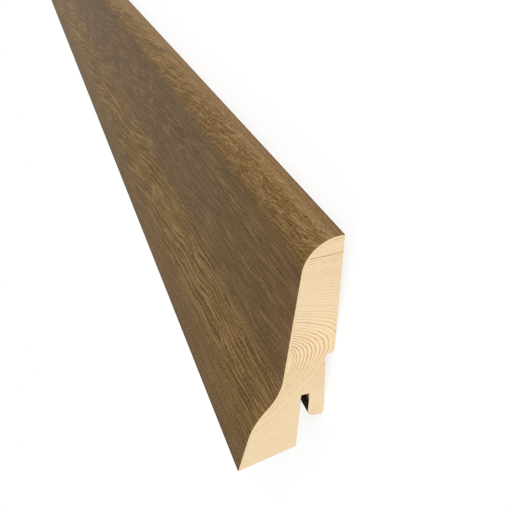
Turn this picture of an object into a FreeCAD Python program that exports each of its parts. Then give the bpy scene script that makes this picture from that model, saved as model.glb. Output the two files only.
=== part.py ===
"""Skirting board length: a moulded softwood stick with an oak veneer on its face.

The section is drawn as it stands at a wall: depth is measured out from the wall plane, height up from
the floor. It is carried along X. Then the board is laid on its back, the way it rests on a level floor:
+Z is up, out of the face, +Y is towards the top edge, and the origin is under the middle of its box.
"""

import FreeCAD, Part
import math
import os

# Whole board, in mm
BOARD_LENGTH = 2500.0
BOARD_HEIGHT = 60.0
FOOT_DEPTH = 22.5
VENEER_THICKNESS = 0.6

# Face, from the foot's tip up to the rounded top; a lean is in degrees from upright
FOOT_LEAN = 14.3
NOSE_START_HEIGHT = 9.7
NOSE_RADIUS = 18.5
SWEEP_RADIUS = 14.0
FACE_LEAN = 6.5
FACE_DEPTH_AT_TOP = 7.95
TOP_FLAT = 0.8

# Back pad that touches the wall, and the rebate below it
STEP_HEIGHT = 30.2
STEP_DEPTH = 2.0
PAD_ROUND = 1.1

# Lip that hooks over the wall clips, and the groove for the clips' legs
LIP_HEIGHT = 12.0
LIP_BACK_LEAN = 1.85
LIP_BACK_ROUND = 1.0
LIP_FRONT_ROUND = 2.1
GROOVE_TOP = 19.6
GROOVE_DEPTH = 5.3
GROOVE_WIDTH = 2.0
GROOVE_LEAN = 2.3

# Underside of the foot, undercut so that only the tip meets the floor; degrees from level
UNDERSIDE_RISE = 11.8
HEEL_ROUND = 0.5


def at(depth, height):
    """A point of the section."""
    return FreeCAD.Vector(0, height, depth)


def leaning(degrees):
    """The unit direction of a line that goes up and leans back towards the wall."""
    return at(-math.sin(math.radians(degrees)), math.cos(math.radians(degrees)))


def behind(direction):
    """The unit normal of an upward line, on its wall side."""
    return at(-direction.y, direction.z)


def meeting(first, along_first, second, along_second):
    """Where two lines of the section cross, each given by a point and a direction."""
    across = behind(along_second)
    return first + along_first * ((second - first).dot(across) / along_first.dot(across))


def arc(centre, start, end):
    """The shorter arc from start to end about centre."""
    radius = (start - centre).Length
    middle = centre + ((start + end) * 0.5 - centre).normalize() * radius
    return Part.Arc(start, middle, end).toShape()


def corner_round(before, corner, after, radius):
    """(start, centre, end) of the round of that radius at a corner between two straight sides."""
    to_before = (before - corner).normalize()
    to_after = (after - corner).normalize()
    half_angle = to_before.getAngle(to_after) / 2
    reach = radius / math.tan(half_angle)
    centre = corner + (to_before + to_after).normalize() * (radius / math.sin(half_angle))
    return corner + to_before * reach, centre, corner + to_after * reach


def chain(stops):
    """Edges through a list of points, in which (start, centre, end) stands for an arc."""
    edges = []
    last = None
    for stop in stops:
        start, end = (stop[0], stop[2]) if isinstance(stop, tuple) else (stop, stop)
        if last is not None:
            edges.append(Part.LineSegment(last, start).toShape())
        if isinstance(stop, tuple):
            edges.append(arc(stop[1], start, end))
        last = end
    return edges


# Straight lines that the section is built on
TIP = at(FOOT_DEPTH, 0)
FOOT_LINE = leaning(FOOT_LEAN)
FACE_LINE = leaning(FACE_LEAN)
FACE_TOP = at(FACE_DEPTH_AT_TOP, BOARD_HEIGHT)
UNDERSIDE = leaning(90 - UNDERSIDE_RISE)
GROOVE_WALL = leaning(GROOVE_LEAN)


def face_centres():
    """Centres of the face's three arcs: the nose, the sweep and the shoulder.

    The nose is tangent to the foot's line and the sweep to the face's line, and they are tangent to
    each other. The shoulder is tangent to the face's line and ends on the top, TOP_FLAT from the wall.
    """
    nose_start = TIP + FOOT_LINE * (NOSE_START_HEIGHT / FOOT_LINE.y)
    nose = nose_start + behind(FOOT_LINE) * NOSE_RADIUS
    beside_face = FACE_TOP - behind(FACE_LINE) * SWEEP_RADIUS
    along = (nose - beside_face).dot(FACE_LINE)
    level = beside_face + FACE_LINE * along
    apart = (nose - level).Length
    sweep = level + FACE_LINE * math.sqrt((NOSE_RADIUS + SWEEP_RADIUS) ** 2 - apart**2)
    turn = math.radians(90 - FACE_LEAN)
    shoulder_radius = (FACE_DEPTH_AT_TOP - TOP_FLAT) / math.tan(turn / 2)
    return nose, sweep, at(TOP_FLAT, BOARD_HEIGHT - shoulder_radius)


def face_stops(inset):
    """The face's outline from the underside to the top of the back, moved inwards by inset."""
    nose, sweep, shoulder = face_centres()
    nose_radius = NOSE_RADIUS - inset
    sweep_radius = SWEEP_RADIUS + inset
    shoulder_radius = BOARD_HEIGHT - shoulder.y - inset
    foot = meeting(TIP + behind(FOOT_LINE) * inset, FOOT_LINE, TIP, UNDERSIDE)
    swap = nose + (sweep - nose).normalize() * nose_radius
    return [
        foot,
        (nose - behind(FOOT_LINE) * nose_radius, nose, swap),
        (swap, sweep, sweep + behind(FACE_LINE) * sweep_radius),
        (shoulder - behind(FACE_LINE) * shoulder_radius, shoulder, shoulder + at(0, shoulder_radius)),
        at(0, BOARD_HEIGHT - inset),
    ]


def face_edges(inset):
    """The face's edges. The nose meets the sweep with no straight between them."""
    foot, nose, sweep, shoulder, top = face_stops(inset)
    return chain([foot, nose]) + chain([sweep, shoulder, top])


def back_corners():
    """The lip's two lower corners and the heel, before they are rounded."""
    lip_back = meeting(
        at(STEP_DEPTH, STEP_HEIGHT), leaning(-LIP_BACK_LEAN), at(0, LIP_HEIGHT), at(1, 0)
    )
    groove_back = at(GROOVE_DEPTH, GROOVE_TOP)
    lip_front = meeting(groove_back, GROOVE_WALL, at(0, LIP_HEIGHT), at(1, 0))
    groove_front = groove_back - behind(GROOVE_WALL) * GROOVE_WIDTH
    heel = meeting(groove_front, GROOVE_WALL, TIP, UNDERSIDE)
    return lip_back, lip_front, groove_back, groove_front, heel


def pad_round():
    """The round at the lower corner of the back pad."""
    return corner_round(at(0, BOARD_HEIGHT), at(0, STEP_HEIGHT), at(STEP_DEPTH, STEP_HEIGHT), PAD_ROUND)


def lip_round():
    """The round at the lip's lower corner, on the wall side."""
    lip_back, lip_front = back_corners()[:2]
    return corner_round(at(STEP_DEPTH, STEP_HEIGHT), lip_back, lip_front, LIP_BACK_ROUND)


def back_stops():
    """The back and underside of the board, from the top of the back down to the veneer's inner edge."""
    lip_back, lip_front, groove_back, groove_front, heel = back_corners()
    return [
        at(0, BOARD_HEIGHT - VENEER_THICKNESS),
        pad_round(),
        at(STEP_DEPTH, STEP_HEIGHT),
        lip_round(),
        corner_round(lip_back, lip_front, groove_back, LIP_FRONT_ROUND),
        groove_back,
        groove_front,
        corner_round(groove_front, heel, TIP, HEEL_ROUND),
        face_stops(VENEER_THICKNESS)[0],
    ]


def carried(edges):
    """The solid of a closed section carried along the whole length."""
    section = Part.Face(Part.Wire(Part.__sortEdges__(edges)))
    section.translate(FreeCAD.Vector(-BOARD_LENGTH / 2, 0, 0))
    return section.extrude(FreeCAD.Vector(BOARD_LENGTH, 0, 0))


def softwood_core():
    """The moulded stick, with its pad, rebate, lip, clip groove and undercut foot."""
    return carried(chain(back_stops()) + face_edges(VENEER_THICKNESS))


def oak_veneer():
    """The veneer, wrapped from the foot's tip over the face to the back's upper edge."""
    outer, inner = face_stops(0), face_stops(VENEER_THICKNESS)
    ends = chain([outer[0], inner[0]]) + chain([outer[-1], inner[-1]])
    return carried(face_edges(0) + face_edges(VENEER_THICKNESS) + ends)


def resting():
    """The turn about X, in degrees, and the lift that lay the board on its back.

    Its weight lies below the back pad, so the lip comes down too. The floor then touches the rounds
    of the pad and the lip.
    """
    pad, lip = pad_round()[1], lip_round()[1]
    between = pad - lip
    turn = math.atan2(-between.z, between.y)
    turn -= math.asin((LIP_BACK_ROUND - PAD_ROUND) / between.Length)
    lift = PAD_ROUND - pad.y * math.sin(turn) - pad.z * math.cos(turn)
    return math.degrees(turn), lift


def laid_down(solids):
    """The solids on the floor, with the origin under the middle of their common box."""
    turn, lift = resting()
    for solid in solids:
        solid.rotate(FreeCAD.Vector(0, 0, 0), FreeCAD.Vector(1, 0, 0), turn)
    box = Part.makeCompound(solids).optimalBoundingBox(False, False)
    for solid in solids:
        solid.translate(FreeCAD.Vector(0, -(box.YMin + box.YMax) / 2, lift))


def main():
    nodes = {"softwood_core": softwood_core(), "oak_veneer": oak_veneer()}
    laid_down(list(nodes.values()))
    os.makedirs("parts", exist_ok=True)
    for name, shape in nodes.items():
        shape.exportStep(f"parts/{name}.step")


main()
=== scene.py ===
"""Skirting board length: a moulded softwood stick with a brown oak veneer on its face.

The board lies on its back along X, with its face up and its top edge towards +Y. All sizes are in
metres. A point of the section is a complex number, drawn as the board stands at a wall: its depth
out from the wall, plus i times its height above the floor.
"""

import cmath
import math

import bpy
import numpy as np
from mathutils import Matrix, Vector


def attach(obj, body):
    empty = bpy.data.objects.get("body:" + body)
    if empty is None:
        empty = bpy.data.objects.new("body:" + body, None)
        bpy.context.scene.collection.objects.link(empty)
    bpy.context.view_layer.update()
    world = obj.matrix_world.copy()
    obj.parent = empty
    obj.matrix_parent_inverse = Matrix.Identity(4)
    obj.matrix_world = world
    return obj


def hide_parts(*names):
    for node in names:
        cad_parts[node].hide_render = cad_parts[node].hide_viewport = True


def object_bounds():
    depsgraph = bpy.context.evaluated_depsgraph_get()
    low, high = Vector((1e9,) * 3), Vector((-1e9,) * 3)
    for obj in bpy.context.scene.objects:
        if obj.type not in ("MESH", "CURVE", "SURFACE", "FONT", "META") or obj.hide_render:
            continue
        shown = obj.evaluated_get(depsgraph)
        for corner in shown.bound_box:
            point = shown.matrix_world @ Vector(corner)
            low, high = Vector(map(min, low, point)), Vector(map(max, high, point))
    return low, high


bl_info = {
    "name": "Skirting Board Length",
    "version": (1, 0, 0),
    "blender": (4, 5, 0),
    "location": "View3D > Sidebar > Skirting",
    "description": "Builds a veneered skirting board length with its grain, and a plain stage for it",
    "category": "Object",
}

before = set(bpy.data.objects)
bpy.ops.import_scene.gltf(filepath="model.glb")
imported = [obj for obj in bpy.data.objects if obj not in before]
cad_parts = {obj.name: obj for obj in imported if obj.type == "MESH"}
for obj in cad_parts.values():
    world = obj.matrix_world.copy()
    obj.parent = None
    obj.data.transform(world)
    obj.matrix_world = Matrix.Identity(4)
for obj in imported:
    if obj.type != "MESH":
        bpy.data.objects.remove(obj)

CAD_LOW, CAD_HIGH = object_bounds()

# Divisions of the meshes, and the angle from which an edge between two faces is sharp
FACE_ARC_STEPS = 48
ROUND_STEPS = 12
ARRIS_STEPS = 3
LENGTH_STEPS = 96
SHARP_ANGLE = math.radians(20)

# The maps that the finish is baked on, as shares of a map's side. Glued sides are drawn narrower than
# they are, and the veneer's cut ends wider
MAP_GAP = 0.006
SECOND_END_FROM = 0.5
GLUED_SHARE = 0.04
SOFTWOOD_STRIPS = 3
SOFTWOOD_SIDES_FROM = 0.2
SOFTWOOD_END_LENGTH = 0.485
VENEER_STRIPS = 4
VENEER_SIDES_FROM = 0.04
VENEER_END_LENGTH = 0.48
VENEER_END_WIDENING = 4

# The softwood's rings: their middle in the section, a ring's growth, and the sizes of ring_growth's
# formula
RING_DEPTH = 0.0125
RING_HEIGHT = 0.0325
RING_PITCH = 0.00102
RING_CORE = 0.0052
RING_SQUEEZE = 0.555
RING_KNEE = 0.0017
RING_STRAIGHT = 0.0193
RING_FLATTEST = -0.12
RING_MOUTH = 0.0127
RING_SLANT = math.radians(35.3)
RING_CLOSING = 0.48
FOOT_CLOSING_FROM = 0.007
FOOT_CLOSING_DROP = 0.006
FOOT_CLOSING = 0.5

# Changes of the rings' lines, by growth or, for the top and the foot, by height up the section: where
# they begin and end, and the two values between which they lead
RING_CHANGES = {
    "line_start": (0.009, 0.014, 0.54, 0.62),
    "fainter_outside": (0.0105, 0.0175, 1.0, 0.4),
    "bold_top": (0.052, 0.055, 0.0, 1.0),
    "bold_foot": (0.022, 0.014, 0.0, 0.5),
    "even_middle": (0.0075, 0.0095, 1.0, 0.0),
}
BOLD_RING = 0.0385
BOLD_RING_WIDTH = 0.0002

# The planer's ripple on the softwood's sides
PLANER_PITCH = 0.0016

# The shade painted inside the clip groove: what it takes in beyond the groove's back, its leaning
# front and its closed end, and where it fades out above the lip's end
GROOVE_SHADE_BACK_MARGIN = 0.0001
GROOVE_SHADE_FRONT_MARGIN = 0.0005
GROOVE_SHADE_END_MARGIN = 0.0002
GROOVE_SHADE_MOUTH = 0.0022
GROOVE_SHADE_FADE = 0.003

# The oak's colours up the face, each held between two shares of the way from the foot's tip to the
# top edge, and two bands between low and high shares, with the share over which each fades
OAK_COLOURS = (
    ("taupe", 0.00, 0.185),
    ("gold", 0.245, 0.32),
    ("umber", 0.54, 0.80),
    ("honey", 0.88, 0.92),
    ("rim", 0.97, 1.00),
)
GOLD_BAND = (0.18, 0.36, 0.06)
FLAT_FACE = (0.42, 0.80, 0.08)

# Changes of the oak's marks up the face: the shares of the way up where they begin and end, and the
# two values between which they lead
UP_FACE = {
    "streak": (0.05, 0.22, 1.1, 2.1),
    "streak_on_umber": (0.36, 0.45, 1.0, 0.65),
    "rim": (0.945, 0.97, 0.0, 1.0),
    # brightness: the top is paler than the face, partly from the oak's own tone and partly as painted
    # light from above
    "brightness": (0.84, 0.95, 0.9, 1.0),
    "hair": (0.04, 0.20, 0.22, 0.44),
    "hair_end": (0.78, 0.86, 1.0, 0.0),
    "squiggle": (0.81, 0.90, 0.0, 1.0),
    "squiggle_end": (0.955, 0.975, 1.0, 0.0),
}

# Their changes along the board, by the distance from the near end. The climb is a slope, and the fine
# waver is in metres
ALONG = {
    "climb": (0.06, 0.20, 0.05, 0.10),
    "fine_waver": (0.04, 0.14, 0.0024, 0.0006),
    "streak": (0.03, 0.15, 1.0, 0.85),
    "broad_streak": (0.04, 0.15, 0.0, 0.8),
    "fibre": (0.05, 0.20, 1.0, 0.55),
    "brightness": (0.03, 0.20, 0.99, 0.93),
    "hair": (0.05, 0.14, 1.0, 0.3),
    "wide_hair": (0.02, 0.12, 0.2, 1.0),
    "squiggle": (0.20, 0.60, 1.0, 0.5),
}

# How much of each mark there is: in brightness, or as a share over the colour below it
STRENGTHS = {
    "patch": 0.6,
    "red_near_end": 0.6,
    "streak_lost_on_rim": 0.85,
    "fibre": 2.0,
    "fibre_added_on_gold": 0.4,
    "fibre_lost_on_rim": 0.4,
    "stripe": 1.4,
    "hair_added_on_gold": 0.2,
    "line": 0.7,
    "squiggle": 0.8,
    "close_squiggle": 0.8,
    "pore": 0.3,
    # edge: painted shade along the veneer's two long edges
    "edge": 0.75,
}

# Values of a noise or a wave between which a mark sets in
SET_IN = {
    "red_patch": (0.52, 0.70),
    "grey_patch": (0.50, 0.34),
    "line": (0.1, 1.0),
    "line_swell": (0.38, 0.62),
    "pore": (0.58, 0.70),
}

# Swings of the noises that shift the patterns of both woods, in metres
SHIFTS = {
    "wander": 0.004,
    "waver": 0.0045,
    "drift": 0.009,
    "curl": 0.0012,
    "ring_drift": 0.0022,
}

# The noises: their cell, their detail, and their shift in cells. The oak's cells are measured along and
# up the face, the softwood's along the board, up it and out of it
NOISES = {
    "patch": ((0.09, 0.022, 1), 1, (2.4, 0, 0)),
    "wander": ((0.11, 0.033, 1), 2, (0, 0, 0)),
    "waver": ((0.065, 0.0133, 1), 1, (0, 0, 0)),
    "fine_waver": ((0.016, 0.005, 1), 1, (0, 0, 0)),
    "streak": ((0.031, 0.00059, 1), 2, (0, 0, 0)),
    "broad_streak": ((0.0133, 0.00105, 1), 1, (1, 8, 0)),
    "fibre": ((0.00083, 0.00033, 1), 1, (0, 0, 0)),
    "stripe": ((0.2, 0.00028, 1), 1, (0, 0, 0)),
    "hair": ((0.025, 0.00077, 1), 1, (5, 2, 0)),
    "wide_hair": ((0.0167, 0.00118, 1), 1, (6, 4, 0)),
    "line_swell": ((0.022, 0.002, 1), 1, (9, 0, 0)),
    "drift": ((0.05, 0.025, 1), 2, (4, 0, 0)),
    "curl": ((0.005, 0.002, 1), 2, (0, 0, 0)),
    "squiggle": ((0.0115, 0.00067, 1), 2, (0, 0, 0)),
    "close_squiggle": ((0.0078, 0.00045, 1), 1, (3, 5, 0)),
    "pore": ((0.0042, 0.00024, 1), 1, (0, 7, 0)),
    "raw_oak": ((0.0025, 0.00033, 0.00033), 3, (0, 0, 0)),
    "ring_drift": ((0.667, 0.0167, 0.0167), 2, (0, 0, 0)),
    "ring_jitter": ((0.0024, 1, 1), 2, (0, 0, 0)),
    "ring_break": ((0.25, 0.0015, 0.0015), 2, (0, 0, 3)),
    "softwood_fibre": ((0.022, 0.00042, 0.00042), 3, (0, 0, 0)),
    "cloud": ((0.33, 0.011, 0.011), 2, (5, 0, 0)),
    "saw_stroke": ((1, 0.0011, 0.00019), 2, (0, 0, 0)),
}

# The stage
WHITE = (1, 1, 1, 1)
FLOOR_SIDE = 60.0
FLOOR_COLOUR = (0.93, 0.93, 0.92, 1)
FLOOR_GLOW = 1.09
FLOOR_GLOW_SHARE = 0.75
SKY_LIGHT = 0.66
SUN_DIRECTION = (0.45, 0.85, 0.27)
SUN_STRENGTH = 1.9
SUN_SPREAD = math.radians(40)
CAMERA_PLACE = (1.33931986, 0.0874799, 0.0567526)
CAMERA_RIGHT = (0.3356329, 0.0741647, -0.9390688)
CAMERA_UP = (-0.5141540, 0.8497277, -0.1166552)
CAMERA_LENS = 43.456
CAMERA_SENSOR = 36.0
CAMERA_NEAREST = 0.001
CAMERA_FARTHEST = 100.0


def length_property(name, description, default):
    """A size in metres."""
    return bpy.props.FloatProperty(name=name, description=description, default=default, unit="LENGTH")


def angle_property(name, description, degrees):
    """An angle whose default is given in degrees."""
    angle = math.radians(degrees)
    return bpy.props.FloatProperty(name=name, description=description, default=angle, subtype="ANGLE")


def colour_property(name, description, red, green, blue):
    """A colour whose default is given as screen values from 0 to 255."""
    linear = [((value / 255 + 0.055) / 1.055) ** 2.4 for value in (red, green, blue)]
    return bpy.props.FloatVectorProperty(
        name=name, description=description, default=linear, size=3, min=0, max=1, subtype="COLOR"
    )


class SkirtingSizes(bpy.types.PropertyGroup):
    """Driving dimensions of the board and its section."""

    length: length_property("Length", "Length of the board", CAD_HIGH[0] - CAD_LOW[0])
    height: length_property("Height", "Height of the board at the wall", 0.060)
    foot_depth: length_property("Foot depth", "Depth of the foot's tip from the wall", 0.0225)
    veneer: length_property("Veneer", "Thickness of the oak veneer", 0.0006)
    arris: length_property("Arris", "Radius of the eased outer edges", 0.00006)
    foot_lean: angle_property("Foot lean", "Lean of the foot's straight front towards the wall", 14.3)
    nose_start: length_property("Nose start", "Height where the foot's straight front ends", 0.0097)
    nose_radius: length_property("Nose radius", "Radius of the round above the foot", 0.0185)
    sweep_radius: length_property("Sweep radius", "Radius of the hollow above the nose", 0.014)
    face_lean: angle_property("Face lean", "Lean of the long flat face towards the wall", 6.5)
    face_depth: length_property("Face depth", "Depth of the flat face's line at the top's height", 0.00795)
    top_flat: length_property("Top flat", "Width of the level strip along the wall", 0.0008)
    step_height: length_property("Step height", "Height of the back pad's lower edge", 0.0302)
    step_depth: length_property("Step depth", "How far the rebate lies behind the back pad", 0.002)
    pad_round: length_property("Pad round", "Radius of the back pad's lower corner", 0.0011)
    lip_height: length_property("Lip height", "Height of the lip's lower end", 0.012)
    lip_lean: angle_property("Lip lean", "Lean of the lip's back towards the wall, going up", -1.85)
    lip_back_round: length_property("Lip back round", "Radius of the lip's corner on the wall side", 0.001)
    lip_front_round: length_property("Lip front round", "Radius of the lip's corner at the groove", 0.0021)
    groove_top: length_property("Groove top", "Height of the clip groove's closed end", 0.0196)
    groove_depth: length_property("Groove depth", "Depth of its wall-side corner from the wall", 0.0053)
    groove_width: length_property("Groove width", "Width of the clip groove", 0.002)
    groove_lean: angle_property("Groove lean", "Lean of the groove's walls towards the wall", 2.3)
    underside_rise: angle_property("Underside rise", "Climb of the foot's underside to the wall", 11.8)
    heel_round: length_property("Heel round", "Radius where the underside meets the groove", 0.0005)


class SkirtingColours(bpy.types.PropertyGroup):
    """Colours of the two woods."""

    taupe: colour_property("Taupe", "Oak of the foot", 108, 81, 42)
    gold: colour_property("Gold", "Oak of the golden band over the nose", 111, 86, 51)
    umber: colour_property("Umber", "Oak of the long flat face", 100, 75, 42)
    russet: colour_property("Russet", "Redder patches of the flat face", 105, 77, 48)
    olive: colour_property("Olive", "Greyer patches of the flat face", 99, 79, 49)
    # Honey and rim are paler than the face, partly from the oak's own tone and partly as painted light
    # from above
    honey: colour_property("Honey", "Oak of the rounded top", 109, 83, 46)
    rim: colour_property("Rim", "Calm strip along the top edge", 128, 101, 67)
    straw: colour_property("Straw", "Pale hairs and squiggles of the oak", 160, 131, 90)
    vein: colour_property("Vein", "Wavy grain lines of the oak", 86, 63, 38)
    # The pore colour also paints shade along the veneer's two long edges
    pore: colour_property("Pore", "Open pores and the dark edges of the oak", 66, 49, 32)
    earlywood: colour_property("Earlywood", "Pale wood between the softwood's rings", 245, 221, 182)
    latewood: colour_property("Latewood", "Darker line of a softwood ring", 201, 150, 94)
    # Painted shade: the inside of the clip groove is coloured dark for the shade that falls in it
    painted_groove_shade: colour_property("Kerf", "Dark inside of the clip groove", 38, 23, 8)
    raw_oak: colour_property("Raw oak", "The veneer's cut ends", 242, 215, 172)


def dot(first, second):
    """The scalar product of two directions of the section."""
    return (first * second.conjugate()).real


def leaning(angle):
    """The unit direction that goes up and leans back towards the wall: i turned by the angle."""
    return 1j * cmath.exp(1j * angle)


def behind(direction):
    """The normal of an upward direction on its wall side: a quarter turn."""
    return 1j * direction


def meeting(first, along_first, second, along_second):
    """Where two lines cross: first + t * along_first, with t from the distances to the second line."""
    across = behind(along_second)
    return first + along_first * dot(second - first, across) / dot(along_first, across)


def arc_points(start, centre, end, steps):
    """Points of the shorter arc: centre + (start - centre) * e^(i * share * turn)."""
    turn = cmath.phase((end - centre) / (start - centre))
    share = np.linspace(0.0, 1.0, steps + 1)
    return centre + (start - centre) * np.exp(1j * share * turn)


def corner_round(before, corner, after, radius):
    """(start, centre, end) of a round at a corner between two straight sides.

    With half the corner's angle a, the round starts radius / tan(a) from the corner, and its centre
    lies radius / sin(a) along the bisector.
    """
    to_before = (before - corner) / abs(before - corner)
    to_after = (after - corner) / abs(after - corner)
    half_angle = abs(cmath.phase(to_after / to_before)) / 2
    bisector = (to_before + to_after) / abs(to_before + to_after)
    reach = radius / math.tan(half_angle)
    centre = corner + bisector * (radius / math.sin(half_angle))
    return corner + to_before * reach, centre, corner + to_after * reach


def tip(sizes):
    """The foot's tip, where the veneer's face meets the underside."""
    return complex(sizes.foot_depth, 0)


def underside(sizes):
    """The direction in which the foot's underside climbs towards the wall."""
    return leaning(math.pi / 2 - sizes.underside_rise)


def face_centres(sizes):
    """Centres of the nose, the sweep and the shoulder.

    The nose is tangent to the foot's line, the sweep to the face's line, and they touch each other, so
    their centres lie the sum of their radii apart. The shoulder is tangent to the face's line and to
    the level top, so its radius is its reach over the tangent of half its turn.
    """
    foot_line, face_line = leaning(sizes.foot_lean), leaning(sizes.face_lean)
    nose_start = tip(sizes) + foot_line * (sizes.nose_start / foot_line.imag)
    nose = nose_start + behind(foot_line) * sizes.nose_radius
    beside_face = complex(sizes.face_depth, sizes.height) - behind(face_line) * sizes.sweep_radius
    level = beside_face + face_line * dot(nose - beside_face, face_line)
    reach = sizes.nose_radius + sizes.sweep_radius
    sweep = level + face_line * math.sqrt(reach**2 - abs(nose - level) ** 2)
    turn = math.pi / 2 - sizes.face_lean
    shoulder_radius = (sizes.face_depth - sizes.top_flat) / math.tan(turn / 2)
    return nose, sweep, complex(sizes.top_flat, sizes.height - shoulder_radius)


def face_arcs(sizes, inset):
    """The face's three arcs going up, moved inwards by inset, as one array of points.

    The nose and the shoulder lose the inset from their radii, and the sweep gains it.
    """
    nose, sweep, shoulder = face_centres(sizes)
    foot_line, face_line = leaning(sizes.foot_lean), leaning(sizes.face_lean)
    nose_radius = sizes.nose_radius - inset
    sweep_radius = sizes.sweep_radius + inset
    shoulder_radius = sizes.height - shoulder.imag - inset
    swap = nose + (sweep - nose) / abs(sweep - nose) * nose_radius
    shoulder_start = shoulder - behind(face_line) * shoulder_radius
    return np.concatenate([
        arc_points(nose - behind(foot_line) * nose_radius, nose, swap, FACE_ARC_STEPS),
        arc_points(swap, sweep, sweep + behind(face_line) * sweep_radius, FACE_ARC_STEPS)[1:],
        arc_points(shoulder_start, shoulder, shoulder + 1j * shoulder_radius, FACE_ARC_STEPS),
    ])


def inner_foot(sizes):
    """The veneer's inner edge at the foot, in the plane of the underside."""
    foot_line = leaning(sizes.foot_lean)
    beside = tip(sizes) + behind(foot_line) * sizes.veneer
    return meeting(beside, foot_line, tip(sizes), underside(sizes))


def outer_face(sizes):
    """The veneer's show side from the eased foot edge over the face to the eased top edge."""
    arcs = face_arcs(sizes, 0)
    top_corner = complex(0, sizes.height)
    back = top_corner - 1j * sizes.veneer
    foot_edge = corner_round(inner_foot(sizes), tip(sizes), arcs[0], sizes.arris)
    top_edge = corner_round(arcs[-1], top_corner, back, sizes.arris)
    return np.concatenate([
        arc_points(*foot_edge, ARRIS_STEPS), arcs, arc_points(*top_edge, ARRIS_STEPS)
    ])


def inner_face(sizes):
    """The veneer's glued side, going up, with both long edges."""
    top = complex(0, sizes.height - sizes.veneer)
    return np.concatenate([[inner_foot(sizes)], face_arcs(sizes, sizes.veneer), [top]])


def step_corner(sizes):
    """The inner corner of the rebate, where the step meets the lip's back."""
    return complex(sizes.step_depth, sizes.step_height)


def lip_corners(sizes):
    """The lip's two lower corners before they are rounded: where its sides meet its level end."""
    end = complex(0, sizes.lip_height)
    groove_back = complex(sizes.groove_depth, sizes.groove_top)
    return (
        meeting(step_corner(sizes), leaning(sizes.lip_lean), end, 1 + 0j),
        meeting(groove_back, leaning(sizes.groove_lean), end, 1 + 0j),
    )


def pad_round(sizes):
    """The round at the lower corner of the back pad."""
    top = complex(0, sizes.height)
    corner = complex(0, sizes.step_height)
    return corner_round(top, corner, step_corner(sizes), sizes.pad_round)


def lip_back_round(sizes):
    """The round at the lip's lower corner, on the wall side."""
    back, front = lip_corners(sizes)
    return corner_round(step_corner(sizes), back, front, sizes.lip_back_round)


def back_and_underside(sizes):
    """The softwood's open sides, as corners and rounds from the pad's lower corner to the heel."""
    groove_wall = leaning(sizes.groove_lean)
    groove_back = complex(sizes.groove_depth, sizes.groove_top)
    groove_front = groove_back - behind(groove_wall) * sizes.groove_width
    lip_back, lip_front = lip_corners(sizes)
    heel = meeting(groove_front, groove_wall, tip(sizes), underside(sizes))
    stops = [
        pad_round(sizes),
        (step_corner(sizes),),
        lip_back_round(sizes),
        corner_round(lip_back, lip_front, groove_back, sizes.lip_front_round),
        (groove_back,),
        (groove_front,),
        corner_round(groove_front, heel, tip(sizes), sizes.heel_round),
    ]
    return np.concatenate([
        arc_points(*stop, ROUND_STEPS) if len(stop) == 3 else np.array(stop) for stop in stops
    ])


def resting(sizes):
    """The turn and lift that lay the board on its back.

    The floor touches the rounds of the pad and of the lip, so the turn is the slope of the line
    between their centres, less the angle whose sine is the difference of their radii over its length.
    """
    pad, lip = pad_round(sizes)[1], lip_back_round(sizes)[1]
    between = pad - lip
    turn = math.atan2(-between.real, between.imag)
    turn -= math.asin((sizes.lip_back_round - sizes.pad_round) / abs(between))
    lift = sizes.pad_round - pad.imag * math.sin(turn) - pad.real * math.cos(turn)
    return turn, lift


def placing(sizes):
    """The turn and the shift (across, lift) that carry the section into the frame.

    Across, the top edge comes to the +Y side of the CAD solids' box.
    """
    turn, lift = resting(sizes)
    outline = outer_face(sizes)
    across = (1j * np.conj(outline) * cmath.exp(1j * turn)).real
    return turn, complex(CAD_HIGH[1] - across.max(), lift)


def placed(sizes, outline):
    """The section's points in the frame, as Y + i * Z: height + i * depth, turned, then shifted."""
    turn, shift = placing(sizes)
    return 1j * np.conj(outline) * cmath.exp(1j * turn) + shift


def stations(sizes):
    """Places along X: evenly spaced, with one more an arris inside each end."""
    half = sizes.length / 2
    middle = np.linspace(-half, half, LENGTH_STEPS + 1)
    return np.concatenate([
        [-half, sizes.arris - half], middle[1:-1], [half - sizes.arris, half]
    ])


def carried(sizes, outline, open_side):
    """The outline carried along X, as an array of stations by points by 3.

    At the two ends the points of open sides move inwards by the arris, along the outline's normal,
    which is its tangent turned by a quarter turn clockwise.
    """
    section = placed(sizes, outline)
    tangent = np.roll(section, -1) - np.roll(section, 1)
    along = np.repeat(stations(sizes)[:, None], len(outline), axis=1)
    rings = np.repeat(section[None, :], len(along), axis=0)
    rings[[0, -1]] = section - 1j * tangent / np.abs(tangent) * sizes.arris * open_side
    return np.stack([along, rings.real, rings.imag], axis=-1)


def side_quads(station_count, point_count):
    """Corners of the side faces: (i, j), (i + 1, j), (i + 1, j + 1), (i, j + 1), closed round j."""
    ring = np.arange(point_count)
    following = np.roll(ring, -1)
    base = (np.arange(station_count - 1) * point_count)[:, None]
    return np.stack([
        base + ring, base + point_count + ring, base + point_count + following, base + following
    ], axis=-1).reshape(-1, 4)


def way_round(outline, first_glued):
    """The way round the closed outline at each of its points.

    The steps between the glued points, which come last, are drawn narrower.
    """
    steps = np.abs(np.diff(np.append(outline, outline[0])))
    steps[first_glued:-1] *= GLUED_SHARE
    return np.append(0, np.cumsum(steps))


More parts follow.
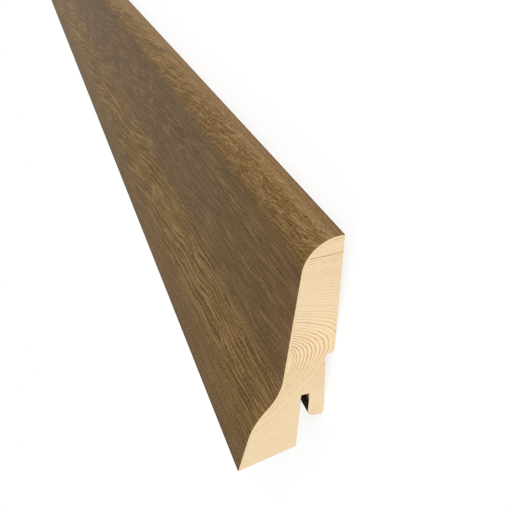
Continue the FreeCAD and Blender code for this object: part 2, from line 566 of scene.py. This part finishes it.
def side_map(sizes, across, strips, low):
    """Places of the side faces' corners on the baked map.

    The length is cut into equal strips that lie one above another from low to the map's top. In a
    strip, u is the share of its length, and v the share of the way round the outline.
    """
    along = stations(sizes) / sizes.length + 0.5
    middle = (along[1:] + along[:-1]) / 2
    strip = np.minimum((middle * strips).astype(int), strips - 1)
    start, end = along[:-1] * strips - strip, along[1:] * strips - strip
    pitch = (1.0 - low) / strips
    base = low + strip * pitch + MAP_GAP
    share = across / across[-1] * (pitch - 2 * MAP_GAP)
    u = MAP_GAP + np.stack([start, end, end, start], axis=-1)[:, None, :] * (1 - 2 * MAP_GAP)
    v = np.stack([share[:-1], share[:-1], share[1:], share[1:]], axis=-1)[None, :, :]
    shape = (len(start), len(across) - 1, 4)
    u = np.broadcast_to(u, shape)
    v = np.broadcast_to(base[:, None, None] + v, shape)
    return np.stack([u, v], axis=-1).reshape(-1, 2)


def add_object(name, data):
    """A new object in the scene."""
    item = bpy.data.objects.new(name, data)
    bpy.context.scene.collection.objects.link(item)
    return item


def make_mesh(name, vertices, sides, ends, maps):
    """A mesh from arrays, smooth on its rounds and sharp at its corners.

    Its sides take the first material, and its ends the second. maps holds, by name, one (u, v) for
    each corner of each face, in the faces' order.
    """
    mesh = bpy.data.meshes.new(name)
    mesh.from_pydata(vertices.reshape(-1, 3), [], sides.tolist() + ends)
    for map_name, corners in maps.items():
        layer = mesh.uv_layers.new(name=map_name)
        layer.uv.foreach_set("vector", corners.astype(np.float32).ravel())
    numbers = np.arange(len(mesh.polygons)) >= len(sides)
    mesh.polygons.foreach_set("material_index", numbers.astype(np.int32))
    mesh.shade_smooth()
    mesh.set_sharp_from_angle(angle=SHARP_ANGLE)
    mesh.validate()
    return add_object(name, mesh)


class Value:
    """An output of a shader node. A sum written with values becomes Math nodes."""

    def __init__(self, shader, socket):
        self.shader = shader
        self.socket = socket

    def __add__(self, other):
        return self.shader.math("ADD", self, other)

    def __sub__(self, other):
        return self.shader.math("SUBTRACT", self, other)

    def __rsub__(self, other):
        return self.shader.math("SUBTRACT", other, self)

    def __mul__(self, other):
        return self.shader.math("MULTIPLY", self, other)

    def __truediv__(self, other):
        return self.shader.math("DIVIDE", self, other)


class Shader:
    """The node tree of a material or a world, with one short method for each kind of step."""

    def __init__(self, owner):
        owner.use_nodes = True
        self.owner = owner
        self.tree = owner.node_tree
        self.tree.nodes.clear()

    def add(self, kind, inputs=None, **settings):
        """A new shader node. An input that is a Value is linked, and any other is set."""
        node = self.tree.nodes.new("ShaderNode" + kind)
        for name, value in settings.items():
            setattr(node, name, value)
        for key, value in (inputs or {}).items():
            if isinstance(value, Value):
                self.tree.links.new(value.socket, node.inputs[key])
            else:
                node.inputs[key].default_value = value
        return node

    def value(self, kind, inputs=None, output=0, **settings):
        """One output of a new node."""
        return Value(self, self.add(kind, inputs, **settings).outputs[output])

    def math(self, operation, first, second=0.0):
        """A Math node's result."""
        return self.value("Math", {0: first, 1: second}, operation=operation)

    def vector(self, operation, first, second):
        """A Vector Math node's result."""
        return self.value("VectorMath", {0: first, 1: second}, operation=operation)

    def parts(self, vector):
        """The three parts of a vector."""
        return [Value(self, part) for part in self.add("SeparateXYZ", {0: vector}).outputs]

    def joined(self, along, up=0.0):
        """The vector (along, up, 0)."""
        return self.value("CombineXYZ", {0: along, 1: up})

    def noise(self, vector, name, roughness=0.5, turn=(0, 0, 0), output=0):
        """The noise of that name, between 0 and 1. Output 1 is a vector of three noises."""
        cell, detail, shift = NOISES[name]
        scale = [1 / size for size in cell]
        place = {"Vector": vector, "Scale": scale, "Rotation": turn, "Location": shift}
        place = self.value("Mapping", place)
        inputs = {"Vector": place, "Scale": 1.0, "Detail": detail, "Roughness": roughness}
        return self.value("TexNoise", inputs, output)

    def swing(self, vector, name, **settings):
        """The noise of that name about 0, between -0.5 and 0.5."""
        return self.noise(vector, name, **settings) - 0.5

    def spread(self, value, from_low, from_high, to_low=0.0, to_high=1.0, kind="SMOOTHSTEP"):
        """The value carried from one range to another, and held at its ends."""
        inputs = {0: value, 1: from_low, 2: from_high, 3: to_low, 4: to_high}
        return self.value("MapRange", inputs, interpolation_type=kind)

    def window(self, value, low, high, soft):
        """1 between low and high, fading to 0 over soft on both sides."""
        rise = self.spread(value, low - soft, low)
        return rise * self.spread(value, high, high + soft, 1.0, 0.0)

    def thin_line(self, value, half_width):
        """1 where the value passes through 0.5, fading to 0 half_width to either side of it."""
        return self.spread(self.math("ABSOLUTE", value - 0.5), 0.0, half_width, 1.0, 0.0)

    def hill(self, value, centre, half_width):
        """e to the minus square of the distance from centre in half widths."""
        away = (value - centre) / half_width
        return self.math("EXPONENT", away * away * -1.0)

    def blend(self, share, first, second):
        """Two colours mixed by share."""
        inputs = {0: share, 6: opaque(first), 7: opaque(second)}
        return self.value("Mix", inputs, output=2, data_type="RGBA")

    def shaded(self, colour, brightness):
        """The colour times a brightness."""
        return self.value("VectorMath", {0: colour, "Scale": brightness}, operation="SCALE")

    def finish(self, colour, roughness, height, depth, specular):
        """The surface shader, with height worked as a bump of that depth."""
        bump = self.value("Bump", {"Height": height, "Distance": depth, "Strength": 1.0})
        gloss = {"Roughness": roughness, "Specular IOR Level": specular, "Normal": bump}
        surface = self.value("BsdfPrincipled", {"Base Color": colour, **gloss})
        self.add("OutputMaterial", {"Surface": surface})
        return self.owner


def opaque(colour):
    """A colour property with full alpha. A colour that a shader works out stays as it is."""
    return colour if isinstance(colour, Value) else (*colour, 1.0)


def oak_colours(s, colours, place, away, share):
    """The oak's colours up the face, with redder and greyer patches along the flat face.

    share is the way up the face, from 0 at the foot's tip to 1 at the top edge, and away is the
    distance from the near end, round which the flat face is red.
    """
    red_reach = 0.035
    bands = s.add("ValToRGB", {0: share})
    bands.color_ramp.interpolation = "EASE"
    stops = [(position, getattr(colours, name)) for name, *edges in OAK_COLOURS for position in edges]
    ramp = bands.color_ramp.elements
    while len(ramp) < len(stops):
        ramp.new(0.5)
    for element, (position, colour) in zip(ramp, stops):
        element.position = position
        element.color = opaque(colour)

    flat_face = s.window(share, *FLAT_FACE) * STRENGTHS["patch"]
    near_end = s.hill(away, 0.0, red_reach) * STRENGTHS["red_near_end"]
    patches = s.noise(place, "patch")
    red = s.math("MAXIMUM", near_end, s.spread(patches, *SET_IN["red_patch"]))
    grey = s.spread(patches, *SET_IN["grey_patch"]) * (1.0 - near_end)
    colour = s.blend(red * flat_face, Value(s, bands.outputs[0]), colours.russet)
    return s.blend(grey * flat_face, colour, colours.olive)


def opening(s, away):
    """How the grain opens out with the distance from the near end: (place along, share of the width).

    With d that distance, the share is 0.5 + 0.5 e^(-d / 90 mm), so features at the near end are half
    as wide as farther off. The place along is 0.4 d + 0.6 * 90 mm * (1 - e^(-d / 90 mm)), and
    features grow in length in nearly the same way.
    """
    reach, narrowing, slowing = 0.09, 0.5, 0.6
    fading = s.math("EXPONENT", away / -reach)
    along = away * (1 - slowing) + (1.0 - fading) * (slowing * reach)
    return along, fading * narrowing + (1 - narrowing)


def wavering(s, place, away, up):
    """The way up, shifted so that a straight grain worked on it wavers.

    It is shifted by a slow noise of some 2 mm, by a finer one of 1 mm that fades away from the near
    end, by one long hump of 1.5 mm, and by a climb towards the near end of 1 in 20 there and 1 in 10
    farther off.
    """
    hump_place, hump_length, hump_height = 0.225, 0.03, 0.0015
    hump = s.hill(away, hump_place, hump_length) * hump_height
    climb = away * s.spread(away, *ALONG["climb"])
    slow = s.swing(place, "waver") * SHIFTS["waver"]
    fine = s.swing(place, "fine_waver") * s.spread(away, *ALONG["fine_waver"])
    return up + climb + slow + fine - hump


def oak_contrast(s, place, grain, away, share, gold_band):
    """(streaks, fibres, stripes): what they add to the oak's brightness.

    Streaks are strongest in the golden band. Away from the near end they and the fibres grow fainter,
    and a broader set of streaks joins them. The calm rim along the top edge has few streaks, and
    straight stripes instead.
    """
    gain = s.spread(share, *UP_FACE["streak"]) * s.spread(share, *UP_FACE["streak_on_umber"])
    gain *= s.spread(away, *ALONG["streak"])
    streak = s.swing(grain, "streak", roughness=0.7) * gain
    broad = s.swing(grain, "broad_streak")
    streak += broad * s.spread(away, *ALONG["broad_streak"])

    fibre = s.swing(grain, "fibre", roughness=0.6)
    fibre *= gold_band * STRENGTHS["fibre_added_on_gold"] + STRENGTHS["fibre"]
    fibre *= s.spread(away, *ALONG["fibre"])
    stripe = s.swing(place, "stripe") * STRENGTHS["stripe"]
    rim = s.spread(share, *UP_FACE["rim"])
    return (
        streak * (1.0 - rim * STRENGTHS["streak_lost_on_rim"]),
        fibre * (1.0 - rim * STRENGTHS["fibre_lost_on_rim"]),
        stripe * rim,
    )


def oak_hairs(s, grain, away, share, gold_band):
    """Thin pale lines along the grain below the curly band, as shares of straw.

    Narrow ones, 0.8 mm apart, give way to ones 1.2 mm apart away from the near end.
    """
    half_width = 0.06
    narrow = s.thin_line(s.noise(grain, "hair"), half_width)
    narrow *= s.spread(away, *ALONG["hair"])
    wide = s.thin_line(s.noise(grain, "wide_hair"), half_width)
    wide *= s.spread(away, *ALONG["wide_hair"])
    gain = s.spread(share, *UP_FACE["hair"]) + gold_band * STRENGTHS["hair_added_on_gold"]
    return s.math("MAXIMUM", narrow, wide) * gain * s.spread(share, *UP_FACE["hair_end"])


def oak_lines(s, grain, moved_up, width_share):
    """Dark wavy grain lines, 0 to 1, 1.1 mm apart at the near end and twice that farther off.

    They are the crests of a sine of the wavering way up, opened out from the golden band's middle. A
    noise lets each line swell and fade along its length.
    """
    gold_middle, pitch = 0.0195, 0.0011
    wave = s.math("SINE", (moved_up - gold_middle) * width_share * (2 * math.pi / pitch))
    swell = s.noise(grain, "line_swell")
    return s.spread(wave, *SET_IN["line"]) * s.spread(swell, *SET_IN["line_swell"])


def oak_squiggles(s, place, away, up, face_width, opened):
    """Pale curly squiggles, 0 to 1, that climb towards the top edge as they near the end.

    They are the thin lines where two noises stretched along the grain pass through their middle value.
    The noises' place is shifted by a slow noise of some 4 mm, so that the squiggles drift at 0 to 25
    degrees, and by a fine noise that curls them.
    """
    climb, middle = 0.20, 0.9 * face_width
    half_width, close_half_width = 0.035, 0.04
    along, width_share = opened
    drift = s.swing(place, "drift") * SHIFTS["drift"]
    curl = s.swing(s.joined(along, up * width_share), "curl") * SHIFTS["curl"]
    vector = s.joined(along, (up + away * climb + drift + curl - middle) * width_share)
    wide = s.thin_line(s.noise(vector, "squiggle"), half_width)
    close = s.thin_line(s.noise(vector, "close_squiggle"), close_half_width)
    return s.math("MAXIMUM", wide, close * STRENGTHS["close_squiggle"])


def brown_oak(colours, face_width):
    """Satin brown oak, worked along the face.

    The map face_place gives the place along X and the way up the face from the foot's tip. Bands of
    colour follow the way up and wander slowly along the board. Streaks, pale hairs, fibres and pores
    run everywhere, dark wavy lines fill the golden band, pale squiggles drift across the band below
    the top edge, and straight stripes line the calm rim.
    """
    darkest = 0.2
    foot_edge, top_edge, edge_fade = 0.0008, 0.0004, 0.0003
    s = Shader(bpy.data.materials.new("brown_oak"))
    place = s.value("UVMap", uv_map="face_place")
    along, up, _ = s.parts(place)
    away = CAD_HIGH[0] - along
    share = (up + s.swing(place, "wander") * SHIFTS["wander"]) / face_width
    opened = opening(s, away)
    moved_up = wavering(s, place, away, up)
    grain = s.joined(opened[0], moved_up)
    gold_band = s.window(share, *GOLD_BAND)

    streak, fibre, stripe = oak_contrast(s, place, grain, away, share, gold_band)
    even = s.math(
        "MAXIMUM", s.spread(away, *ALONG["brightness"]), s.spread(share, *UP_FACE["brightness"])
    )
    brightness = s.math("MAXIMUM", streak + fibre + stripe + even, darkest)
    colour = s.shaded(oak_colours(s, colours, place, away, share), brightness)
    colour = s.blend(oak_hairs(s, grain, away, share, gold_band), colour, colours.straw)

    line = oak_lines(s, grain, moved_up, opened[1]) * gold_band
    colour = s.blend(line * STRENGTHS["line"], colour, colours.vein)

    curly_band = s.spread(share, *UP_FACE["squiggle"]) * s.spread(share, *UP_FACE["squiggle_end"])
    curly_band *= s.spread(away, *ALONG["squiggle"])
    pale = oak_squiggles(s, place, away, up, face_width, opened) * curly_band
    colour = s.blend(pale * STRENGTHS["squiggle"], colour, colours.straw)

    pore = s.spread(s.noise(grain, "pore"), *SET_IN["pore"])
    colour = s.blend(pore * STRENGTHS["pore"], colour, colours.pore)
    # Painted shade: a thin dark line of the pore colour along the show side's two long edges
    edge = 1.0 - s.window(up, foot_edge, face_width - top_edge, edge_fade)
    colour = s.blend(edge * STRENGTHS["edge"], colour, colours.pore)

    height = streak * 0.6 + fibre * 0.3 + pale * 0.4 - line * 0.5 - pore
    roughness = s.spread(fibre, -0.4, 0.4, 0.56, 0.46, "LINEAR")
    return s.finish(colour, roughness, height, depth=0.00004, specular=0.035)


def raw_oak(colours):
    """Uncoated oak on the veneer's cut ends: pale, with tiny pores seen end on."""
    s = Shader(bpy.data.materials.new("raw_oak"))
    grain = s.noise(s.value("TexCoord", output="Object"), "raw_oak")
    colour = s.shaded(tuple(colours.raw_oak), s.spread(grain, 0.3, 0.7, 0.95, 1.04, "LINEAR"))
    roughness = s.spread(grain, 0.3, 0.7, 0.85, 0.7, "LINEAR")
    return s.finish(colour, roughness, grain, depth=0.00003, specular=0.3)


def ring_growth(s, depth, height):
    """How much growth, in metres, lies between the rings' middle and a point of the section.

    With x the way from the middle towards the wall and y the way up, the square of the growth is
    Y^2 + x^2 F - T^2 + CORE^2. Below the middle Y is y and F is 1, so that the rings are round. Above
    it Y is y + SQUEEZE (sqrt(y^2 + KNEE^2) - KNEE), so that they lie closer together, and F is
    1 - (y / STRAIGHT)^2 but at least FLATTEST, so that they straighten. T opens the rings towards the
    front: it is (t + sqrt(t^2 + MOUTH^2)) / 2, with t the way down and out at the slant. Rings close
    up slowly outwards, by growth^2 / CLOSING, and faster in the foot.
    """
    x = RING_DEPTH - depth
    y = height - RING_HEIGHT
    up = s.math("MAXIMUM", y, 0.0)
    down = s.math("MINIMUM", y, 0.0)
    squeezed = up + (s.math("SQRT", up * up + RING_KNEE**2) - RING_KNEE) * RING_SQUEEZE
    share = up / RING_STRAIGHT
    flatness = s.math("MAXIMUM", 1.0 - share * share, RING_FLATTEST)
    down_and_out = x * -math.cos(RING_SLANT) - y * math.sin(RING_SLANT)
    opened = (down_and_out + s.math("SQRT", down_and_out * down_and_out + RING_MOUTH**2)) * 0.5

    square = squeezed * squeezed + down * down + x * x * flatness - opened * opened + RING_CORE**2
    growth = s.math("SQRT", s.math("MAXIMUM", square, 0.0))
    in_foot = s.math("MAXIMUM", growth - FOOT_CLOSING_FROM, 0.0)
    in_foot *= s.spread(y, 0.0, -FOOT_CLOSING_DROP, 0.0, FOOT_CLOSING)
    return growth + growth * growth / RING_CLOSING + in_foot


def ring_lines(s, section, depth, height):
    """(lines, boldness) of the softwood's rings, each 0 to 1.

    A ring's line grows dark slowly and ends at once. Rings differ in strength, and are bold round the
    middle, along the top and, less so, in the foot.
    """
    darkest, end = 0.88, 0.90
    growth = ring_growth(s, depth, height)
    number = growth / RING_PITCH + s.noise(s.joined(growth), "ring_jitter") * 0.6
    phase = s.math("FRACT", number)
    start = s.spread(growth, *RING_CHANGES["line_start"])
    line = s.spread(phase, start, darkest) * s.spread(phase, end, 1.0, 1.0, 0.0)

    bold = s.spread(growth, *RING_CHANGES["fainter_outside"])
    bold = s.math("MAXIMUM", bold, s.spread(height, *RING_CHANGES["bold_top"]))
    bold = s.math("MAXIMUM", bold, s.spread(height, *RING_CHANGES["bold_foot"]))
    own = s.value("TexWhiteNoise", {1: s.math("FLOOR", number)}, noise_dimensions="1D")
    own = s.spread(own, 0.0, 1.0, 0.35, 1.3, "LINEAR")
    own = s.math("MAXIMUM", own, s.spread(growth, *RING_CHANGES["even_middle"]))
    broken = s.noise(section, "ring_break")
    line *= own * bold * s.spread(broken, 0.3, 0.7, 0.5, 1.35, "LINEAR")
    bold_ring = s.hill(growth, BOLD_RING, BOLD_RING_WIDTH) * 0.9
    return s.math("MAXIMUM", line, bold_ring), bold


def painted_groove_shade(s, sizes, depth, height):
    """1 inside the clip groove, where its shade is painted, fading out over its mouth."""
    low, high = sizes.groove_depth, sizes.groove_depth + sizes.groove_width
    mouth, closed_end = sizes.lip_height + GROOVE_SHADE_MOUTH, sizes.groove_top + GROOVE_SHADE_END_MARGIN
    across = s.window(depth, low + GROOVE_SHADE_BACK_MARGIN, high + GROOVE_SHADE_FRONT_MARGIN, GROOVE_SHADE_BACK_MARGIN)
    return across * s.window(height, mouth, closed_end, GROOVE_SHADE_FADE)


def softwood(name, colours, sizes, end_grain):
    """Uncoated softwood: rings carried along the board, wavering slowly, over fine fibres.

    The ends also show the saw's fine strokes, and the sides the planer's even ripple and the painted
    shade inside the clip groove.
    """
    s = Shader(bpy.data.materials.new(name))
    turn, shift = placing(sizes)
    section = s.value("Mapping", {
        "Vector": s.value("TexCoord", output="Object"),
        "Location": (0, shift.real, shift.imag),
        "Rotation": (turn, 0, 0),
    }, vector_type="TEXTURE")
    drift = s.vector("SUBTRACT", s.noise(section, "ring_drift", output=1), (0.5, 0.5, 0.5))
    drift = s.shaded(drift, SHIFTS["ring_drift"])
    _, height, depth = s.parts(s.vector("ADD", section, drift))
    line, bold = ring_lines(s, section, depth, height)

    colour = s.blend(line, colours.earlywood, colours.latewood)
    colour = s.shaded(colour, bold * 0.055 + 0.98)
    fibre = s.noise(section, "softwood_fibre", roughness=0.6)
    colour = s.shaded(colour, s.spread(fibre, 0.25, 0.75, 0.965, 1.03, "LINEAR"))
    cloud = s.noise(section, "cloud")
    colour = s.shaded(colour, s.spread(cloud, 0.3, 0.7, 0.97, 1.02, "LINEAR"))

    if end_grain:
        tool_marks = s.noise(section, "saw_stroke", turn=(0.8, 0, 0)) * 0.6
        specular = 0.3
    else:
        along, height, depth = s.parts(section)
        tool_marks = s.math("SINE", along * (2 * math.pi / PLANER_PITCH)) * 0.12
        # Painted shade inside the clip groove
        colour = s.blend(painted_groove_shade(s, sizes, depth, height), colour, colours.painted_groove_shade)
        specular = 0.1
    roughness = s.spread(fibre, 0.3, 0.7, 0.72, 0.6, "LINEAR")
    return s.finish(colour, roughness, tool_marks + fibre + line * 0.5, 0.00003, specular)


def softwood_stick(sizes):
    """The stick: its open and glued sides carried along X, with one flat face at each end.

    On the baked map the ends lie side by side below the sides, with their points at height + i * depth
    times one scale.
    """
    back, glued = back_and_underside(sizes), inner_face(sizes)
    outline = np.concatenate([back, glued])
    ring = np.arange(len(outline))
    vertices = carried(sizes, outline, ring < len(back))
    last = (len(vertices) - 1) * len(outline)
    ends = [ring.tolist(), (ring[::-1] + last).tolist()]

    scale = SOFTWOOD_END_LENGTH / sizes.height
    end = 1j * np.conj(outline) * scale + (1 + 1j) * MAP_GAP
    corners = np.concatenate([end, end[::-1] + SECOND_END_FROM])
    maps = {
        "OFBake": np.concatenate([
            side_map(sizes, way_round(outline, len(back)), SOFTWOOD_STRIPS, SOFTWOOD_SIDES_FROM),
            np.stack([corners.real, corners.imag], axis=-1),
        ]),
    }
    return make_mesh("softwood_stick", vertices, side_quads(*vertices.shape[:2]), ends, maps)


def veneer_end(outer_count, inner_count):
    """Faces of the veneer's far end, as a ladder between its show side and its glued side.

    The outline runs up the show side and back down the glued side. The arcs' points stand face to
    face, and make the ladder's quads. The eased edges' points go to one larger face at each edge.
    """
    count = outer_count + inner_count
    ladder = np.arange(inner_count - 3)
    low = ARRIS_STEPS + 1 + ladder
    mate = count - 2 - ladder
    quads = np.stack([low, low + 1, mate - 1, mate], axis=-1)
    foot = [*range(low[0] + 1), mate[0], count - 1]
    top = [*range(low[-1] + 1, outer_count), outer_count, outer_count + 1]
    return [*quads.tolist(), foot, top]


def face_veneer(sizes):
    """(veneer, width of its show side): its two sides carried along X, with a ladder of faces at each end.

    On the baked map the ends lie below the sides, one after the other. The map face_place gives each
    corner's place along X and its way up the face.
    """
    outer, inner = outer_face(sizes), inner_face(sizes)
    outline = np.concatenate([outer, inner[::-1]])
    count = len(outline)
    ring = np.arange(count)
    vertices = carried(sizes, outline, ring < len(outer))
    sides = side_quads(*vertices.shape[:2])
    far_end = veneer_end(len(outer), len(inner))
    last = (len(vertices) - 1) * count
    near_end = [[last + number for number in reversed(face)] for face in far_end]

    up_outer = np.append(0, np.cumsum(np.abs(np.diff(outer))))
    up_inner = np.interp(np.linspace(0, 1, len(inner)), np.linspace(0, 1, len(outer)), up_outer)
    up = np.concatenate([up_outer, up_inner[::-1]])
    face_width = float(up_outer[-1])
    scale = VENEER_END_LENGTH / face_width
    inside = (ring >= len(outer)) * sizes.veneer * scale * VENEER_END_WIDENING
    end_map = np.stack([up * scale, inside], axis=-1) + MAP_GAP

    far_corners, near_corners = np.concatenate(far_end), np.concatenate(near_end)
    corners = np.concatenate([sides.ravel(), far_corners, near_corners])
    maps = {
        "OFBake": np.concatenate([
            side_map(sizes, way_round(outline, len(outer)), VENEER_STRIPS, VENEER_SIDES_FROM),
            end_map[far_corners],
            end_map[near_corners % count] + (SECOND_END_FROM, 0),
        ]),
        "face_place": np.stack([vertices[..., 0].ravel()[corners], up[corners % count]], axis=-1),
    }
    return make_mesh("face_veneer", vertices, sides, far_end + near_end, maps), face_width


class SKIRTING_OT_softwood(bpy.types.Operator):
    """Build the moulded softwood stick: back pad, rebate, lip, clip groove and undercut foot"""

    bl_idname = "skirting.softwood"
    bl_label = "Softwood stick"

    def execute(self, context):
        sizes = context.scene.skirting_sizes
        colours = context.scene.skirting_colours
        piece = softwood_stick(sizes)
        piece.data.materials.append(softwood("planed_softwood", colours, sizes, False))
        piece.data.materials.append(softwood("sawn_softwood_end", colours, sizes, True))
        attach(piece, "root")
        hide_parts("softwood_core")
        return {"FINISHED"}


class SKIRTING_OT_veneer(bpy.types.Operator):
    """Build the oak veneer, wrapped from the foot's tip over the face to the back's upper edge"""

    bl_idname = "skirting.veneer"
    bl_label = "Face veneer"

    def execute(self, context):
        colours = context.scene.skirting_colours
        piece, face_width = face_veneer(context.scene.skirting_sizes)
        piece.data.materials.append(brown_oak(colours, face_width))
        piece.data.materials.append(raw_oak(colours))
        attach(piece, "root")
        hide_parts("oak_veneer")
        return {"FINISHED"}


def seen_directly(s):
    """1 for what the camera, gloss and glass see, and 0 for what only lights other surfaces."""
    path = s.add("LightPath").outputs
    rays = ("Is Camera Ray", "Is Glossy Ray", "Is Transmission Ray")
    camera, gloss, glass = [Value(s, path[ray]) for ray in rays]
    return s.math("MAXIMUM", s.math("MAXIMUM", camera, gloss), glass)


def paper_floor():
    """A pale floor that takes a faint soft shadow.

    To the eye, three quarters of it is its own light, just enough to make the open floor white.
    """
    s = Shader(bpy.data.materials.new("paper_floor"))
    paper = s.value("BsdfDiffuse", {"Color": FLOOR_COLOUR})
    glow = s.value("Emission", {"Color": WHITE, "Strength": FLOOR_GLOW})
    share = seen_directly(s) * FLOOR_GLOW_SHARE
    mixed = s.value("MixShader", {0: share, 1: paper, 2: glow})
    s.add("OutputMaterial", {"Surface": mixed})
    return s.owner


def add_sun(name, direction, strength, spread):
    """A soft sun that shines from the direction given."""
    light = bpy.data.lights.new(name, "SUN")
    light.energy = strength
    light.angle = spread
    turn = Vector(direction).to_track_quat("Z", "Y")
    add_object(name, light).rotation_euler = turn.to_euler()


def white_world():
    """An even white sky: full white to the eye and in gloss, softer as light."""
    s = Shader(bpy.data.worlds.new("white_world"))
    strength = s.spread(seen_directly(s), 0.0, 1.0, SKY_LIGHT, 1.0, "LINEAR")
    sky = s.value("Background", {"Color": WHITE, "Strength": strength})
    s.add("OutputWorld", {"Surface": sky})
    bpy.context.scene.world = s.owner


class SKIRTING_OT_stage(bpy.types.Operator):
    """Set up the pale floor, the soft light and the camera"""

    bl_idname = "skirting.stage"
    bl_label = "Stage"

    def execute(self, context):
        mesh = bpy.data.meshes.new("pale_floor")
        half = FLOOR_SIDE / 2
        corners = [(-half, -half, 0), (half, -half, 0), (half, half, 0), (-half, half, 0)]
        mesh.from_pydata(corners, [], [(0, 1, 2, 3)])
        mesh.materials.append(paper_floor())
        floor = add_object("pale_floor", mesh)

        white_world()
        add_sun("key_sun", SUN_DIRECTION, SUN_STRENGTH, SUN_SPREAD)

        camera_data = bpy.data.cameras.new("camera")
        camera_data.sensor_width = CAMERA_SENSOR
        camera_data.lens = CAMERA_LENS
        camera_data.clip_start = CAMERA_NEAREST
        camera_data.clip_end = CAMERA_FARTHEST
        camera = add_object("camera", camera_data)
        right, up = Vector(CAMERA_RIGHT), Vector(CAMERA_UP)
        turned = Matrix((right, up, right.cross(up))).transposed().to_4x4()
        camera.matrix_world = Matrix.Translation(CAMERA_PLACE) @ turned
        context.scene.camera = camera
        context.scene.view_settings.view_transform = "Standard"
        return {"FINISHED"}


class SKIRTING_PT_sidebar(bpy.types.Panel):
    """Lists the board's sizes and colours and the operators that build it"""

    bl_idname = "SKIRTING_PT_sidebar"
    bl_label = "Skirting Board Length"
    bl_space_type = "VIEW_3D"
    bl_region_type = "UI"
    bl_category = "Skirting"

    def draw(self, context):
        for group in (context.scene.skirting_sizes, context.scene.skirting_colours):
            box = self.layout.box()
            for name in group.__annotations__:
                box.prop(group, name)
        for operator in (SKIRTING_OT_softwood, SKIRTING_OT_veneer, SKIRTING_OT_stage):
            self.layout.operator(operator.bl_idname)


CLASSES = (
    SkirtingSizes,
    SkirtingColours,
    SKIRTING_OT_softwood,
    SKIRTING_OT_veneer,
    SKIRTING_OT_stage,
    SKIRTING_PT_sidebar,
)


def register():
    for each in CLASSES:
        bpy.utils.register_class(each)
    bpy.types.Scene.skirting_sizes = bpy.props.PointerProperty(type=SkirtingSizes)
    bpy.types.Scene.skirting_colours = bpy.props.PointerProperty(type=SkirtingColours)


def unregister():
    del bpy.types.Scene.skirting_colours
    del bpy.types.Scene.skirting_sizes
    for each in reversed(CLASSES):
        bpy.utils.unregister_class(each)


def main():
    register()
    bpy.ops.skirting.stage()
    bpy.ops.skirting.softwood()
    bpy.ops.skirting.veneer()


if __name__ == "__main__":
    main()
